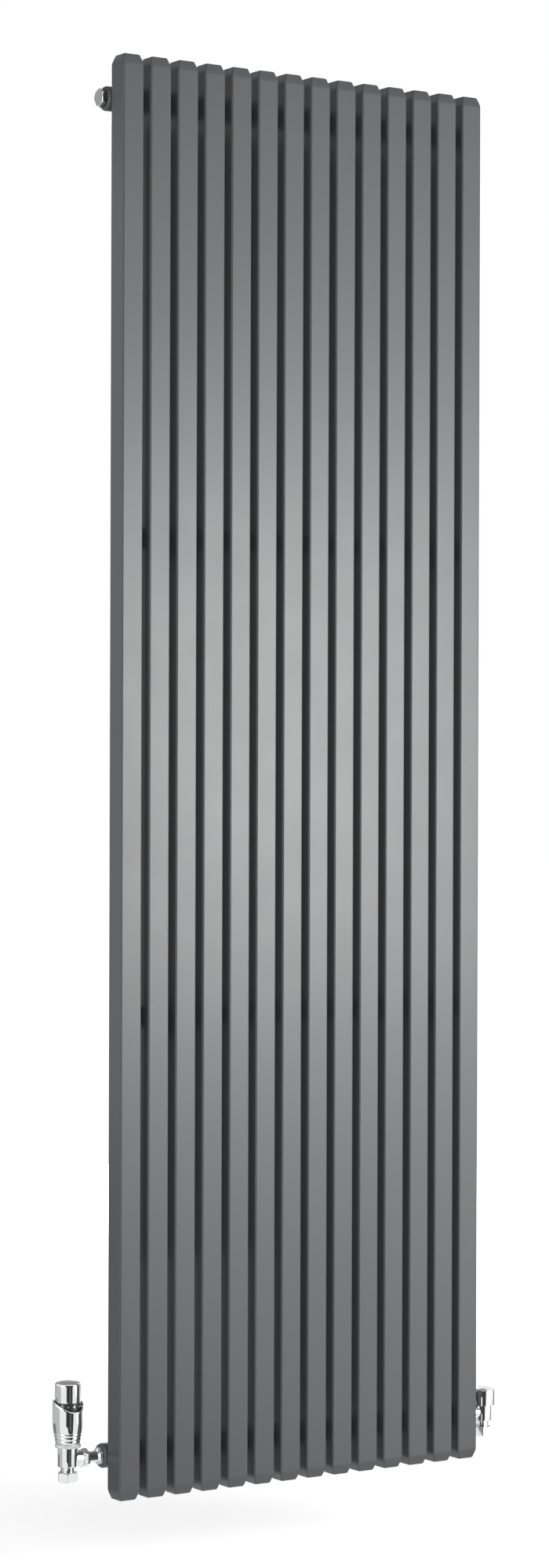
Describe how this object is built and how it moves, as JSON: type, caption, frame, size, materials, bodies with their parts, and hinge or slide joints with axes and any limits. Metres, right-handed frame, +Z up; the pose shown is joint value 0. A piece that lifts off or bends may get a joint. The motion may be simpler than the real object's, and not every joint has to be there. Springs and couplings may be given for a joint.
{
  "type": "radiator with valves",
  "caption": "Tall wall radiator of square vertical columns with round headers behind, thermostatic valve at one bottom corner and lockshield valve at the other.",
  "frame": {"origin": "centre of the wall fixing holes, on the wall plane, half way up the columns", "axes": "+Z up along the columns, -Y out from the wall towards the room, +X to the right for someone facing the radiator"},
  "size_m": [0.6779, 0.1, 1.8],
  "materials": {
    "column_paint": "satin",
    "frame_paint": "satin",
    "bracket_paint": "satin",
    "liner_plastic": "matte",
    "seal_rubber": "matte",
    "brass": "machined",
    "spring_steel": "bright",
    "satin_chrome": "satin",
    "valve_chrome": "polished",
    "head_plastic": "moulded",
    "band_plastic": "satin"
  },
  "bodies": {
    "radiator": {"blanking_plug": "valve_chrome", "bottom_header": "frame_paint", "bottom_left_boss": "frame_paint", "bottom_right_boss": "frame_paint", "bracket_liners": "liner_plastic", "column_01": "column_paint", "column_02": "column_paint", "column_03": "column_paint", "column_04": "column_paint", "column_05": "column_paint", "column_06": "column_paint", "column_07": "column_paint", "column_08": "column_paint", "column_09": "column_paint", "column_10": "column_paint", "column_11": "column_paint", "column_12": "column_paint", "column_13": "column_paint", "column_14": "column_paint", "lower_cross_bar": "frame_paint", "lower_left_bracket": "bracket_paint", "lower_right_bracket": "bracket_paint", "lsv_body": "valve_chrome", "lsv_compression_nut": "valve_chrome", "lsv_headwork": "brass", "lsv_olive": "brass", "lsv_tailpiece": "valve_chrome", "lsv_union_nut": "valve_chrome", "plug_seal": "seal_rubber", "top_header": "frame_paint", "top_left_boss": "frame_paint", "top_right_boss": "frame_paint", "trv_base": "head_plastic", "trv_body": "valve_chrome", "trv_collar": "satin_chrome", "trv_compression_nut": "valve_chrome", "trv_gland": "brass", "trv_insert": "brass", "trv_olive": "brass", "trv_sleeve": "valve_chrome", "trv_spring": "spring_steel", "trv_tailpiece": "valve_chrome", "trv_union_nut": "valve_chrome", "upper_cross_bar": "frame_paint", "upper_left_bracket": "bracket_paint", "upper_right_bracket": "bracket_paint", "vent_plug": "valve_chrome", "vent_seal": "seal_rubber"},
    "trv_handle": {"trv_handle": "valve_chrome", "trv_number_band": "band_plastic"},
    "trv_plunger": {"trv_sensor": "head_plastic", "trv_stem": "spring_steel", "trv_disc_holder": "brass", "trv_disc": "seal_rubber"},
    "lsv_cap": {"lsv_cap": "valve_chrome"},
    "lsv_spindle": {"lsv_spindle": "brass"},
    "lsv_plug": {"lsv_plug": "brass", "lsv_disc": "seal_rubber"},
    "bleed_screw": {"bleed_screw": "brass"}
  },
  "joints": [
    {"name": "trv_handle_turn", "type": "hinge", "parent": "radiator", "child": "trv_handle", "pos_m": [-0.3205, -0.0505, -0.776], "axis": [0, 0, 1], "range_deg": [-220, 55]},
    {"name": "trv_plunger_slide", "type": "slide", "parent": "radiator", "child": "trv_plunger", "axis": [0, 0, 1], "range_m": [-0.00244, 0.00061], "deforming": ["trv_spring"]},
    {"name": "lsv_cap_lift", "type": "slide", "parent": "radiator", "child": "lsv_cap", "axis": [0, 0, 1], "range_m": [0, 0.03]},
    {"name": "lsv_spindle_turn", "type": "hinge", "parent": "radiator", "child": "lsv_spindle", "pos_m": [0.3205, -0.0505, -0.836], "axis": [0, 0, 1], "range_deg": [-270, 180]},
    {"name": "lsv_plug_slide", "type": "slide", "parent": "radiator", "child": "lsv_plug", "axis": [0, 0, 1], "range_m": [-0.0015, 0.001]},
    {"name": "bleed_screw_turn", "type": "hinge", "parent": "radiator", "child": "bleed_screw", "pos_m": [0.2755, -0.0505, 0.85], "axis": [1, 0, 0], "range_deg": [0, 270]}
  ],
  "couplings": [
    {"joint": "trv_handle_turn", "follows": "trv_plunger_slide", "rad_per_m": 1570.8},
    {"joint": "lsv_spindle_turn", "follows": "lsv_plug_slide", "rad_per_m": 3141.6}
  ]
}
